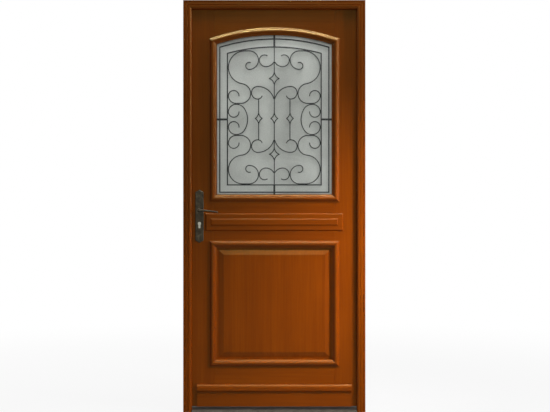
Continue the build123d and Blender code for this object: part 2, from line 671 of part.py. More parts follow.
class ScrollPattern:
    """Places of the scrolls, about the grille's middle point, with radii scaled by one fit factor."""

    def __init__(self, half_width, room_above, room_below):
        contact = SCROLL_BAR / 2 - WELD_BITE / 2
        spread = HEART_SPAN + HEART_CURL + LOOP_RADIUS + LOOP_FLAT + LOOP_CURL
        fits = [(half_width - contact - SCROLL_BAR / 2 - touching()) / spread]
        for lobe, room in ((UPPER_LOBE_RADIUS, room_above), (LOWER_LOBE_RADIUS, room_below)):
            reach = SIDE_SCROLL_HALF_HEIGHT + LOOP_RADIUS + self.lobe_rise(lobe) + lobe
            fits.append((room - contact - touching()) / reach)
        self.fit = min(fits)
        self.side_x = -(SCROLL_BAR / 2 + self.fit * spread + touching())
        self.loop_x = self.side_x + self.fit * (LOOP_CURL + LOOP_FLAT)
        self.loop_z = self.fit * (SIDE_SCROLL_HALF_HEIGHT + LOOP_RADIUS) + touching()
        self.heart_x = self.loop_x + self.fit * (LOOP_RADIUS + HEART_CURL) + touching()
        self.small_z = {}

    @staticmethod
    def lobe_rise(lobe):
        """Height of a lobe's centre over the loop's centre, where the two touch."""
        aside = lobe - LOOP_CURL - LOOP_FLAT
        return math.sqrt((lobe + LOOP_RADIUS) ** 2 - aside**2)

    def large_scroll(self, lobe):
        """Large scroll: a lobe in the corner, an S down the side and a curl at each end."""
        k = self.fit
        lobe_x = self.side_x + k * lobe
        lobe_z = self.loop_z + k * self.lobe_rise(lobe)
        crest = (lobe_x, lobe_z + k * lobe)
        aside = math.degrees(math.atan2(lobe_x - self.loop_x, lobe_z - self.loop_z))
        outer = BarPath(crest, 180)
        outer.arc(k * lobe, 180 - aside).arc(k * LOOP_RADIUS, -(180 - aside))
        outer.line(k * LOOP_FLAT).arc(k * LOOP_CURL, -90).arc(k * SIDE_EYE, -185)
        neck_x = -(SCROLL_BAR / 2 + k * (SMALL_SPAN + SMALL_CURL + LOBE_NECK_RADIUS) + touching())
        inner = BarPath(crest, 0)
        inner.line(neck_x - lobe_x).arc(k * LOBE_NECK_RADIUS, -180).arc(k * LOBE_EYE, -205)
        self.small_z[lobe] = crest[1] - k * (LOBE_NECK_RADIUS + SMALL_CURL)
        return outer.face() + inner.face()

    def side_scroll(self):
        """C-shaped scroll against the side bar, with a curl at each end."""
        k = self.fit
        height, shoulder = k * SIDE_SCROLL_HALF_HEIGHT, k * SIDE_SCROLL_SHOULDER
        shoulder_x = self.side_x + k * (SIDE_SCROLL_CURL + SIDE_SCROLL_FLAT)
        reach = shoulder + k * SIDE_SCROLL_BOW
        drop = height - shoulder
        bow = (reach**2 + drop**2 - shoulder**2) / (2 * (reach - shoulder))
        swing = math.degrees(math.atan2(drop, bow - reach))
        half = BarPath((shoulder_x, height), 0).arc(shoulder, swing - 90).arc(bow, -swing)
        tail = BarPath((shoulder_x, height), 180).line(k * SIDE_SCROLL_FLAT)
        tail.arc(k * SIDE_SCROLL_CURL, 90).arc(k * SIDE_EYE, 185)
        upper = half.face() + tail.face()
        return upper + mirror(upper, about=Plane.XZ)

    def heart_scroll(self):
        """Scroll from the centre bar, over and into a curl beside the loop."""
        k = self.fit
        top = (self.heart_x, self.loop_z + k * (HEART_RAISE + HEART_CURL))
        span = -self.heart_x - SCROLL_BAR / 2 + WELD_BITE
        arm = BarPath(top, 0).arc(span / math.sin(math.radians(HEART_ARRIVAL)), -HEART_ARRIVAL)
        tail = BarPath(top, 180).arc(k * HEART_CURL, 180).arc(k * HEART_EYE, 75)
        return arm.face() + tail.face()

    def heart_join(self):
        """Height at which the heart scrolls meet the centre bar."""
        span = -self.heart_x - SCROLL_BAR / 2
        radius = span / math.sin(math.radians(HEART_ARRIVAL))
        top = self.loop_z + self.fit * (HEART_RAISE + HEART_CURL)
        return top - radius * (1 - math.cos(math.radians(HEART_ARRIVAL)))

    def small_scroll(self, lobe):
        """Small scroll from the centre bar, under and up into a curl beside the large scroll's neck."""
        k = self.fit
        bottom = (-(SCROLL_BAR / 2 + k * SMALL_SPAN), self.small_z[lobe])
        span = k * SMALL_SPAN + WELD_BITE
        arm = BarPath(bottom, 0).arc(span / math.sin(math.radians(SMALL_ARRIVAL)), SMALL_ARRIVAL)
        tail = BarPath(bottom, 180).arc(k * SMALL_CURL, -90).arc(k * SMALL_EYE, -126)
        return arm.face() + tail.face()


def lozenge(half_width, half_height):
    """Open lozenge with hollow sides, drawn about its own middle."""
    radius = (half_width**2 + half_height**2) / (2 * half_width)
    sweep = math.degrees(math.asin(half_height / radius))
    side = BarPath((0, half_height), -90).arc(radius, -sweep)
    quarter = side.face()
    half = quarter + mirror(quarter, about=Plane.XZ) + Pos(-half_width, 0) * Circle(SCROLL_BAR / 2)
    return half + mirror(half, about=Plane.YZ)


def upright(x, low, high):
    """Straight upright scroll bar."""
    return Pos(x, (low + high) / 2) * Rectangle(SCROLL_BAR, high - low)


class GrilleFrame:
    """One arched frame of flat bar: its outer edge, and its inner edge a bar's width inside."""

    def __init__(self, half, low, radius, bar):
        self.half = half
        self.low = low
        self.radius = radius
        self.bar = bar

    def inside(self, side, foot, head):
        """Half-width, foot and head radius of an edge that far inside this frame's inner edge."""
        return self.half - self.bar - side, self.low + self.bar + foot, self.radius - self.bar - head

    def face(self):
        """The frame's flat outline."""
        return arched_face(self.half, self.low, self.radius) - arched_face(*self.inside(0, 0, 0))


def tie_faces(ring, middle):
    """Ties from the moulding through the border to the inner frame, at each side, foot and crown."""
    near = ring.half - ring.bar / 2
    far = SIGHT_HALF - TIE_END_GAP
    for side in (-1, 1):
        yield Pos(side * (near + far) / 2, middle) * Rectangle(far - near, TIE_WIDTH)
    crown = arch_height(SIGHT_RADIUS, TIE_WIDTH / 2) - TIE_END_GAP
    foot_ends = SIGHT_BOTTOM + TIE_END_GAP, ring.low + ring.bar / 2
    head_ends = ARCH_CENTRE + ring.radius - ring.bar / 2, crown
    for low, high in (foot_ends, head_ends):
        yield Pos(0, (low + high) / 2) * Rectangle(TIE_WIDTH, high - low)


def lozenge_bar(low, high, lozenges):
    """Upright bar at X 0, opened into lozenges that are given as (height, half width, half height)."""
    face = Sketch()
    start = low
    for height, half_width, half_height in sorted(lozenges):
        face += upright(0, start, height - half_height)
        face += Pos(0, height) * lozenge(half_width, half_height)
        start = height + half_height
    return face + upright(0, start, high)


def make_grille():
    """Grille welded up from a border, an inner frame, ties, uprights with lozenges, and scrolls."""
    border = GrilleFrame(
        SIGHT_HALF - BORDER_SIDE_CLEARANCE,
        SIGHT_BOTTOM + BORDER_FOOT_CLEARANCE,
        SIGHT_RADIUS - BORDER_HEAD_CLEARANCE,
        BORDER_BAR,
    )
    spacings = (INNER_FRAME_SIDE_SPACING, INNER_FRAME_FOOT_SPACING, INNER_FRAME_HEAD_SPACING)
    ring = GrilleFrame(*border.inside(*spacings), INNER_FRAME_BAR)
    inside_half, inside_low, inside_radius = ring.inside(0, 0, 0)
    middle = SIGHT_BOTTOM + GRILLE_MIDDLE
    lobe_x = inside_half - UPPER_LOBE_RADIUS
    lobe_reach = inside_radius - UPPER_LOBE_RADIUS
    room_above = ARCH_CENTRE + math.sqrt(lobe_reach**2 - lobe_x**2) + UPPER_LOBE_RADIUS - middle
    pattern = ScrollPattern(inside_half, room_above, middle - inside_low)
    half = pattern.side_scroll()
    for lobe, flip in ((UPPER_LOBE_RADIUS, False), (LOWER_LOBE_RADIUS, True)):
        quarter = pattern.large_scroll(lobe) + pattern.heart_scroll() + pattern.small_scroll(lobe)
        half += mirror(quarter, about=Plane.XZ) if flip else quarter
    small = (MIDDLE_LOZENGE_RISE, SMALL_LOZENGE_HALF_WIDTH, SMALL_LOZENGE_HALF_HEIGHT)
    bar_end = pattern.loop_z + pattern.fit * (HEART_RAISE - HEART_CURL)
    half += Pos(pattern.heart_x + SIDE_BAR_INSET, 0) * lozenge_bar(-bar_end, bar_end, [small])
    large = (LARGE_LOZENGE_HALF_WIDTH, LARGE_LOZENGE_HALF_HEIGHT)
    upper = (pattern.heart_join() + UPPER_LOZENGE_RISE, *large)
    lower = (-pattern.heart_join() - LOWER_LOZENGE_DROP, *large)
    bar_foot = inside_low - ring.bar / 2 - middle
    bar_head = ARCH_CENTRE + inside_radius + ring.bar / 2 - middle
    scrolls = half + mirror(half, about=Plane.YZ) + lozenge_bar(bar_foot, bar_head, [lower, small, upper])
    face = border.face() + ring.face() + list(tie_faces(ring, middle)) + Pos(0, middle) * scrolls
    back = GLASS_FRONT - GRILLE_GLASS_GAP
    return slab(face, back - GRILLE_DEPTH, back)


# Handles and lock


def plate_outline():
    """Outline of a handle plate: straight sides with pointed ogee ends."""
    half = PLATE_WIDTH / 2
    top = HANDLE_HEIGHT + PLATE_ABOVE_HANDLE
    foot = HANDLE_HEIGHT - PLATE_BELOW_HANDLE
    edges = []
    for tip, sign in ((top, 1), (foot, -1)):
        shoulder = tip - sign * PLATE_POINT
        for side in (-1, 1):
            waist = (HANDLE_X + side * half * 0.5, tip - sign * PLATE_POINT * 0.42)
            edges.append(
                Spline(
                    (HANDLE_X + side * half, shoulder),
                    waist,
                    (HANDLE_X, tip),
                    tangents=[(0, sign), (-side, sign * 0.45)],
                )
            )
    for side in (-1, 1):
        x = HANDLE_X + side * half
        edges.append(Line((x, foot + PLATE_POINT), (x, top - PLATE_POINT)))
    return make_face(Curve() + edges)


def make_plate():
    """Handle plate on the street side, pierced for the lever's neck and the cylinder."""
    front = LEAF_FRONT - PLATE_THICKNESS
    plate = slab(plate_outline(), front, LEAF_FRONT)
    plate = chamfer(plate.faces().sort_by(Axis.Y)[0].edges(), PLATE_CHAMFER)
    neck_hole = Pos(HANDLE_X, HANDLE_HEIGHT) * Circle(NECK_RADIUS + NECK_CLEARANCE)
    return plate - slab(neck_hole, front, LEAF_FRONT) - slab(lock_profile(CYLINDER_PLAY), front, LEAF_FRONT)


def lever_section(x, y, z, width, height):
    """Oval section of the lever's grip at a point along it."""
    plane = Plane(origin=(x, y, z), x_dir=(0, 1, 0), z_dir=(1, 0, 0))
    return plane * Ellipse(width / 2, height / 2)


def make_lever():
    """Street-side lever: a turned neck and hub, and a grip that flattens towards its end."""
    grip_y = LEAF_FRONT - PLATE_THICKNESS - LEVER_STANDOFF
    journal = LEAF_FRONT - JOURNAL_GAP
    hub_bow = LEVER_HUB_RADIUS * math.sqrt(0.5)
    neck_profile = make_face(
        Polyline(
            (0, journal),
            (NECK_RADIUS, journal),
            (NECK_RADIUS, LEAF_FRONT - PLATE_THICKNESS - NECK_CLEARANCE),
            (NECK_RADIUS, LEAF_FRONT - 2 * PLATE_THICKNESS),
        )
        + ThreePointArc(
            (NECK_RADIUS, LEAF_FRONT - 2 * PLATE_THICKNESS),
            (NECK_RADIUS * 0.8, (LEAF_FRONT - 2 * PLATE_THICKNESS + grip_y) / 2),
            (LEVER_HUB_RADIUS, grip_y),
        )
        + ThreePointArc(
            (LEVER_HUB_RADIUS, grip_y),
            (hub_bow, grip_y - hub_bow),
            (0, grip_y - LEVER_HUB_RADIUS),
        )
        + Line((0, grip_y - LEVER_HUB_RADIUS), (0, journal))
    )
    neck = Pos(HANDLE_X, 0, HANDLE_HEIGHT) * revolve(neck_profile, Axis.Y)
    steps = 4
    sections = []
    for n in range(steps + 1):
        share = n / steps
        width = LEVER_ROOT_WIDTH + (LEVER_TIP_WIDTH - LEVER_ROOT_WIDTH) * share
        height = LEVER_ROOT_HEIGHT + (LEVER_TIP_HEIGHT - LEVER_ROOT_HEIGHT) * share
        droop = LEVER_DROOP * share**1.5
        bow = LEVER_ROOT_WIDTH * 0.5 * share**2
        sections.append(
            lever_section(HANDLE_X + LEVER_LENGTH * share, grip_y + bow, HANDLE_HEIGHT - droop, width, height)
        )
    grip = loft(sections)
    lever = neck + grip
    half = SPINDLE_SIDE / 2 + NECK_CLEARANCE / 6
    socket = Pos(HANDLE_X, HANDLE_HEIGHT) * Rectangle(2 * half, 2 * half)
    return lever - slab(socket, journal - SPINDLE_SOCKET, journal)


def make_spindle():
    """Square spindle through the leaf, from socket to socket."""
    reach = SPINDLE_SOCKET - 1
    face = Pos(HANDLE_X, HANDLE_HEIGHT) * Rectangle(SPINDLE_SIDE, SPINDLE_SIDE)
    return slab(face, LEAF_FRONT - reach, LEAF_BACK + reach)


def make_cylinder():
    """Lock cylinder through the leaf, with a turning plug and a key slot at each end."""
    front = LEAF_FRONT - PLATE_THICKNESS - CYLINDER_PROUD
    back = LEAF_BACK + PLATE_THICKNESS + CYLINDER_PROUD
    cylinder = slab(lock_profile(0), front, back)
    plug = Pos(HANDLE_X, LOCK_Z) * Circle(PLUG_RADIUS)
    slot = Pos(HANDLE_X, LOCK_Z) * Rectangle(KEYWAY_WIDTH, KEYWAY_HEIGHT)
    for cut, depth in ((plug, PLUG_RECESS), (slot, KEYWAY_DEPTH)):
        street = slab(cut, front, front + depth)
        cylinder -= street
        cylinder -= mirrored_inside(street)
    return cylinder


def make_faceplate():
    """Lock's front on the leaf's edge, with the drawn-back latch and dead bolt in it."""
    plate = edge_slab(faceplate_outline(0), -LEAF_HALF, -LEAF_HALF + FACEPLATE_THICKNESS)
    for face in bolt_faces(0):
        plate += edge_slab(face, -LEAF_HALF + BOLT_REVEAL, -LEAF_HALF + BOLT_LENGTH)
        plate -= edge_slab(face, -LEAF_HALF, -LEAF_HALF + BOLT_REVEAL)
    return plate


def make_strike():
    """Strike plate let into the lock jamb, with a window for each bolt."""
    middle = (HANDLE_HEIGHT + LOCK_Z - CYLINDER_HEIGHT) / 2
    outline = Pos(LEAF_MIDDLE, middle) * SlotOverall(STRIKE_LENGTH, STRIKE_WIDTH, rotation=90)
    plate = edge_slab(outline, -REBATE_HALF - STRIKE_THICKNESS, -REBATE_HALF)
    pocket = plate
    for face in bolt_faces(STRIKE_PLAY):
        window = edge_slab(face, -REBATE_HALF - STRIKE_THICKNESS - STRIKE_POCKET_DEPTH, -REBATE_HALF)
        plate -= window
        pocket += window
    return plate, pocket


# Hinges: a pintle on the jamb and a knuckle on the leaf


def hinge_barrel(low, high, tip):
    """Solid barrel with a domed end: tip is 1 for a dome at the top and -1 for one at the foot."""
    radius = HINGE_BARREL_RADIUS
    end, other = (high, low) if tip > 0 else (low, high)
    bow = radius * math.sqrt(0.5)
    dome = ThreePointArc((radius, end), (bow, end + tip * bow), (0, end + tip * radius))
    profile = make_face(Polyline((0, end + tip * radius), (0, other), (radius, other), (radius, end)) + dome)
    return Pos(HINGE_X, HINGE_Y, 0) * revolve(Plane.XZ * profile, Axis.Z)


def make_pintle(middle):
    """Frame half of a hinge: plate on the jamb, lower barrel and pin."""
    seat = middle - HINGE_SEAT_GAP / 2
    barrel = hinge_barrel(middle - HINGE_HALF_LENGTH, seat, -1)
    plate = block(
        HINGE_X,
        FRAME_HALF - HINGE_FRAME_PLATE_MARGIN,
        FRAME_BACK,
        FRAME_BACK + HINGE_PLATE_THICKNESS,
        seat - HINGE_PLATE_LENGTH,
        seat,
    )
    pin = Pos(HINGE_X, HINGE_Y, seat + HINGE_PIN_LENGTH / 2) * Cylinder(HINGE_PIN_RADIUS, HINGE_PIN_LENGTH)
    return barrel + plate + pin


def make_knuckle(middle):
    """Leaf half of a hinge: plate on the leaf and upper barrel, bored for the pin."""
    seat = middle + HINGE_SEAT_GAP / 2
    barrel = hinge_barrel(seat, middle + HINGE_HALF_LENGTH, 1)
    plate = block(
        HINGE_X - EDGE_GAP / 2 - HINGE_LEAF_PLATE_WIDTH,
        HINGE_X,
        LEAF_BACK,
        LEAF_BACK + HINGE_PLATE_THICKNESS,
        seat,
        seat + HINGE_PLATE_LENGTH,
    )
    depth = HINGE_PIN_LENGTH + 2 * HINGE_SEAT_GAP
    bore = Pos(HINGE_X, HINGE_Y, seat + depth / 2) * Cylinder(HINGE_PIN_RADIUS + HINGE_PIN_CLEARANCE, depth)
    return barrel + plate - bore


def build():
    """Every piece of the door, by name."""
    strike, strike_pocket = make_strike()
    pieces = {
        "lock_jamb": make_jamb(-1) - strike_pocket,
        "hinge_jamb": make_jamb(1),
        "frame_head": make_head(),
        "threshold": make_threshold(),
        "rebate_seal": make_seal(),
        "strike_plate": strike,
        "lock_stile": make_lock_stile(),
        "hinge_stile": make_hinge_stile(),
        "top_rail": make_top_rail(),
        "lock_rail": make_rail(PANEL_TOP, GLASS_BOTTOM),
        "bottom_rail": make_rail(LEAF_BOTTOM, PANEL_BOTTOM),
        "lower_panel": make_panel(),
        "lock_rail_tablet": make_tablet(),
        "weatherboard": make_weatherboard(),
        "outer_pane": make_pane(GLASS_FRONT),
        "inner_pane": make_pane(GLASS_FRONT + PANE_THICKNESS + PANE_SPACING),
        "pane_spacer": make_spacer(),
        "grille": make_grille(),
        "outer_handle_plate": make_plate(),
        "outer_lever": make_lever(),
        "handle_spindle": make_spindle(),
        "lock_cylinder": make_cylinder(),
        "lock_faceplate": make_faceplate(),
    }
    pieces["inner_handle_plate"] = mirrored_inside(pieces["outer_handle_plate"])
    pieces["inner_lever"] = mirrored_inside(pieces["outer_lever"])
    glazing = moulding_ring(SIGHT_BOTTOM, GLASS_CROWN, GLAZING_TONGUE_DEPTH, arched=True)
    panelling = moulding_ring(
        PANEL_BOTTOM + MOULDING_TONGUE, PANEL_TOP - MOULDING_TONGUE, PANEL_TONGUE_DEPTH, arched=False
    )
    for kind, ring in (("glazing", glazing), ("panel", panelling)):
        for place, length in ring.items():
            pieces[f"outer_{kind}_moulding_{place}"] = length
            pieces[f"inner_{kind}_moulding_{place}"] = mirrored_inside(length)
    for place, height in HINGE_HEIGHTS.items():
        pieces[f"{place}_hinge_pintle"] = make_pintle(height)
        pieces[f"{place}_hinge_knuckle"] = make_knuckle(height)
    return pieces


os.makedirs("parts", exist_ok=True)
for name, piece in build().items():
    export_step(piece, f"parts/{name}.step")
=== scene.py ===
"""Dressed model of a glazed wooden front door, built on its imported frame."""

import logging
import math
import random
from dataclasses import dataclass, field
from enum import Enum
from typing import Any, Union

import bmesh
import bpy
from mathutils import Matrix, Vector


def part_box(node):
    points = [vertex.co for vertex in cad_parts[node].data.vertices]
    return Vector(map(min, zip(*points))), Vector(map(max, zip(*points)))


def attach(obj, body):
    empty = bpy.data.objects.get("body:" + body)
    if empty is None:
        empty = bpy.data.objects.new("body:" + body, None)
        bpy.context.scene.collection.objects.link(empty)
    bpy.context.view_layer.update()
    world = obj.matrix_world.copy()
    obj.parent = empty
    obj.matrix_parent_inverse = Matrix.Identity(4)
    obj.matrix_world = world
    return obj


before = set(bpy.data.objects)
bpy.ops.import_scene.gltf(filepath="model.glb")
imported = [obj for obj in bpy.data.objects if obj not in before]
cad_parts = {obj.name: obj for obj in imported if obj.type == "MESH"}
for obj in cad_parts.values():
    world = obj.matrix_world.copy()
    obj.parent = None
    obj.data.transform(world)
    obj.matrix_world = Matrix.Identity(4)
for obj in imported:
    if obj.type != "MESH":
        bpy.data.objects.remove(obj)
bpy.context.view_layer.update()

HINGE_PLACES = ("lower", "middle", "upper")
SIDES = ("outer", "inner")

log = logging.getLogger("front_door")

Colour = tuple[float, float, float]
Triple = tuple[float, float, float]
Value = Union[float, "Signal"]

UNTURNED: Triple = (0.0, 0.0, 0.0)
UNSHIFTED: Triple = (0.0, 0.0, 0.0)
EVEN: Triple = (1.0, 1.0, 1.0)
WHITE = (1.0, 1.0, 1.0, 1.0)
HALFWAY = 0.5
GLASS_INDEX = 1.5


class Grain(Enum):
    """Direction that a board's grain runs in, as the turn that brings it upright."""

    UPRIGHT = UNTURNED
    CROSSWISE = (0.0, math.pi / 2, 0.0)


class Edge(Enum):
    """How far a piece's sharp edges are eased, in metres."""

    BOARD = 0.0012
    MOULDING = 0.0005
    BAR = 0.0012
    PLATE = 0.0004


class Crease(Enum):
    """Angle in degrees past which an edge of a piece is sharp."""

    RAISED_PANEL = 12.0
    THRESHOLD = 25.0
    HANDLE_PLATE = 28.0
    USUAL = 30.0


class Facing(Enum):
    """Way that a screw head looks."""

    ROOM = (0.0, 1.0, 0.0)
    LOCK_SIDE = (-1.0, 0.0, 0.0)
    HINGE_SIDE = (1.0, 0.0, 0.0)


@dataclass(frozen=True)
class Layer:
    """One layer of noise in a finish: waves per metre, finer layers, and how far each axis is drawn out."""

    scale: float
    detail: float = 2.0
    roughness: float = 0.5
    drawn_out: Triple = EVEN


@dataclass(frozen=True)
class Relief:
    """Depth of a finish's relief in metres, and the share of it that shows."""

    depth: float
    strength: float


UPRIGHT_LINES = Layer(1400.0, drawn_out=(1.0, 1.0, 0.04))
CROSSWISE_LINES = Layer(1400.0, drawn_out=(0.03, 1.0, 1.0))


# Shader maths


class Signal:
    """A socket in a node tree that takes part in arithmetic."""

    def __init__(self, board: "NodeBoard", socket: bpy.types.NodeSocket) -> None:
        """Wraps a socket.

        Args:
            board: the node tree that the socket is in.
            socket: an output socket.
        """
        self.board = board
        self.socket = socket

    def math(self, operation: str, first: Value, second: Value) -> "Signal":
        """Adds a Math node.

        Args:
            operation: the Math node's operation.
            first: its first value.
            second: its second value.

        Returns:
            The node's result.
        """
        return self.board.node("ShaderNodeMath", {"operation": operation}, {0: first, 1: second})

    def __add__(self, other: Value) -> "Signal":
        """Sum."""
        return self.math("ADD", self, other)

    def __radd__(self, other: Value) -> "Signal":
        """Sum, with a number first."""
        return self.math("ADD", other, self)

    def __sub__(self, other: Value) -> "Signal":
        """Difference."""
        return self.math("SUBTRACT", self, other)

    def __rsub__(self, other: Value) -> "Signal":
        """Difference, with a number first."""
        return self.math("SUBTRACT", other, self)

    def __mul__(self, other: Value) -> "Signal":
        """Product."""
        return self.math("MULTIPLY", self, other)

    def __rmul__(self, other: Value) -> "Signal":
        """Product, with a number first."""
        return self.math("MULTIPLY", other, self)


class NodeBoard:
    """A node tree that nodes are added to, one call each."""

    def __init__(self, tree: bpy.types.NodeTree) -> None:
        """Empties the tree.

        Args:
            tree: the node tree of a material, a node group or the world.
        """
        self.tree = tree
        tree.nodes.clear()

    def node(
        self,
        kind: str,
        settings: dict[str, Any],
        inputs: dict[Union[str, int], Any],
        output: Union[str, int] = 0,
    ) -> Signal:
        """Adds any node.

        Args:
            kind: the node's type.
            settings: its own settings; "stops" are the colours along a ramp.
            inputs: values or signals for its sockets, by name or number.
            output: the socket that is wanted, by name or number.

        Returns:
            The signal of that output.
        """
        made = self.tree.nodes.new(kind)
        for name, setting in settings.items():
            if name == "stops":
                self._set_stops(made.color_ramp, setting)
            else:
                setattr(made, name, setting)
        for key, given in inputs.items():
            if isinstance(given, Signal):
                self.tree.links.new(given.socket, made.inputs[key])
            else:
                made.inputs[key].default_value = given
        return Signal(self, made.outputs[output] if made.outputs else None)

    @staticmethod
    def _set_stops(ramp: bpy.types.ColorRamp, stops: list[tuple[float, Colour]]) -> None:
        """Gives a ramp its stops.

        Args:
            ramp: a new ramp, with its two first stops.
            stops: place and colour of each stop.
        """
        while len(ramp.elements) < len(stops):
            ramp.elements.new(HALFWAY)
        for element, (place, colour) in zip(ramp.elements, stops):
            element.position = place
            element.color = (*colour, 1.0)

    def ramp(self, signal: Signal, places: tuple[float, ...], colours: tuple[Colour, ...]) -> Signal:
        """Colour of a value along a ramp.

        Args:
            signal: the value.
            places: place of each stop.
            colours: colour of each stop.

        Returns:
            The colour.
        """
        stops = list(zip(places, colours))
        return self.node("ShaderNodeValToRGB", {"stops": stops}, {"Fac": signal})

    def blend(self, share: Value, first: Any, second: Any) -> Signal:
        """Mix of two colours.

        Args:
            share: how much of the second colour.
            first: the first colour.
            second: the second colour.

        Returns:
            The mixed colour.
        """
        return self.node("ShaderNodeMix", {"data_type": "RGBA"}, {0: share, 6: first, 7: second}, 2)

    def span(self, signal: Signal, low: float, high: float) -> Signal:
        """Share of the way from low to high, kept between 0 and 1.

        Args:
            signal: the value.
            low: value that gives 0.
            high: value that gives 1.

        Returns:
            The share, eased at both ends.
        """
        settings = {"interpolation_type": "SMOOTHSTEP"}
        return self.node("ShaderNodeMapRange", settings, {"Value": signal, "From Min": low, "From Max": high})

    def place(self, turn: Triple = UNTURNED, shift: Triple = UNSHIFTED) -> Signal:
        """Place on the object, turned and shifted.

        Args:
            turn: rotation about the axes.
            shift: distance along the axes.

        Returns:
            The place as a vector.
        """
        here = self.node("ShaderNodeTexCoord", {}, {}, "Object")
        return self.node("ShaderNodeMapping", {}, {"Vector": here, "Rotation": turn, "Location": shift})

    def stretch(self, vector: Signal, factors: Triple) -> Signal:
        """Vector with each axis multiplied.

        Args:
            vector: the vector.
            factors: factor of each axis.

        Returns:
            The new vector.
        """
        return self.node("ShaderNodeVectorMath", {"operation": "MULTIPLY"}, {0: vector, 1: factors})

    def noise(self, vector: Signal, layer: Layer) -> Signal:
        """Noise of a place.

        Args:
            vector: the place.
            layer: how fine the noise is, and which way it is drawn out.

        Returns:
            A value round 0.5.
        """
        drawn = vector if layer.drawn_out == EVEN else self.stretch(vector, layer.drawn_out)
        inputs = {"Vector": drawn, "Scale": layer.scale, "Detail": layer.detail, "Roughness": layer.roughness}
        return self.node("ShaderNodeTexNoise", {}, inputs, "Fac")

    def bump(self, height: Signal, relief: Relief) -> Signal:
        """Normal of a relief.

        Args:
            height: the relief, from 0 to 1.
            relief: its depth and strength.

        Returns:
            The normal.
        """
        inputs = {"Height": height, "Distance": relief.depth, "Strength": relief.strength}
        return self.node("ShaderNodeBump", {}, inputs)


# Finishes


class Finish:
    """A surface finish that becomes a material."""

    def surface(self, board: NodeBoard) -> dict[str, Any]:
        """What the finish feeds the shader.

        Args:
            board: node tree of the new material.

        Returns:
            Values and signals of the shader's sockets, by name.
        """
        raise NotImplementedError

    def material(self, name: str) -> bpy.types.Material:
        """Makes the material.

        Args:
            name: name of the material.

        Returns:
            The material.
        """
        made = bpy.data.materials.new(name)
        made.use_nodes = True
        board = NodeBoard(made.node_tree)
        shader = board.node("ShaderNodeBsdfPrincipled", {}, self.surface(board))
        board.node("ShaderNodeOutputMaterial", {}, {"Surface": shader})
        return made


@dataclass(frozen=True)
class VarnishedWood(Finish):
    """Reddish hardwood under glossy varnish: ribbons, fine streaks and dark pores along the grain."""

    grain: Grain
    seed: int
    tone: float = 1.0
    deep: Colour = (0.170, 0.0250, 0.0002)
    warm: Colour = (0.210, 0.0342, 0.0003)
    pale: Colour = (0.252, 0.0458, 0.0005)
    stops: tuple[float, ...] = (0.34, 0.50, 0.68)
    pore: Colour = (0.095, 0.0120, 0.0001)
    varnish: Colour = (1.0, 0.76, 0.17)
    board_spread: float = 9.0
    ribbons: Layer = Layer(15.0, 3.0, 0.55, (1.0, 1.0, 0.045))
    streaks: Layer = Layer(150.0, 4.0, 0.62, (1.0, 1.0, 0.022))
    fibres: Layer = Layer(640.0, 2.0, 0.6, (1.0, 1.0, 0.018))
    pores: Layer = Layer(900.0, 1.0, 0.5, (1.0, 1.0, 0.03))
    clouds: Layer = Layer(3.2)
    pore_span: tuple[float, float] = (0.62, 0.74)
    ribbon_share: float = 0.5
    streak_share: float = 0.38
    fibre_share: float = 0.12
    cloud_share: float = 0.16
    pore_share: float = 0.35
    roughness: float = 0.17
    streak_roughness: float = 0.09
    pore_roughness: float = 0.08
    fibre_relief: float = 0.35
    relief: Relief = Relief(0.0003, 0.35)
    reflection: float = 0.25
    coat: float = 0.01
    cloud_coat: float = 0.03
    coat_roughness: float = 0.2

    def surface(self, board: NodeBoard) -> dict[str, Any]:
        """Ribbons, streaks and pores along the grain, with varnish over them.

        Args:
            board: node tree of the new material.

        Returns:
            Values and signals of the shader's sockets, by name.
        """
        draw = random.Random(self.seed)
        shift = tuple(draw.uniform(-self.board_spread, self.board_spread) for _ in range(3))
        place = board.place(self.grain.value, shift)
        ribbons = board.noise(place, self.ribbons)
        streaks = board.noise(place, self.streaks)
        fibres = board.noise(place, self.fibres)
        pores = board.span(board.noise(place, self.pores), *self.pore_span)
        clouds = board.noise(place, self.clouds)
        figure = ribbons * self.ribbon_share + streaks * self.streak_share + fibres * self.fibre_share
        shade = figure + (clouds - HALFWAY) * self.cloud_share + (self.tone - 1.0)
        wood = board.ramp(shade, self.stops, (self.deep, self.warm, self.pale))
        height = fibres * self.fibre_relief + (1.0 - pores) * (1.0 - self.fibre_relief)
        return {
            "Base Color": board.blend(pores * self.pore_share, wood, (*self.pore, 1.0)),
            "Roughness": self.roughness + streaks * self.streak_roughness + pores * self.pore_roughness,
            "Normal": board.bump(height, self.relief),
            "Specular IOR Level": self.reflection,
            "Specular Tint": (*self.varnish, 1.0),
            "Coat Weight": self.coat + clouds * self.cloud_coat,
            "Coat Roughness": self.coat_roughness,
        }


@dataclass(frozen=True)
class WroughtIron(Finish):
    """Hand-worked iron under dark satin paint, with a soft hammered relief."""

    dark: Colour = (0.010, 0.011, 0.011)
    light: Colour = (0.030, 0.032, 0.032)
    stops: tuple[float, ...] = (0.35, 0.68)
    hammering: Layer = Layer(130.0, 1.0)
    dust: Layer = Layer(38.0, 4.0, 0.6)
    roughness: float = 0.42
    dust_roughness: float = 0.26
    reflection: float = 0.25
    relief: Relief = Relief(0.0006, 0.5)

    def surface(self, board: NodeBoard) -> dict[str, Any]:
        """Hammer marks and dust.

        Args:
            board: node tree of the new material.

        Returns:
            Values and signals of the shader's sockets, by name.
        """
        place = board.place()
        hammering = board.noise(place, self.hammering)
        dust = board.noise(place, self.dust)
        return {
            "Base Color": board.ramp(dust, self.stops, (self.dark, self.light)),
            "Roughness": self.roughness + dust * self.dust_roughness,
            "Specular IOR Level": self.reflection,
            "Normal": board.bump(hammering, self.relief),
        }


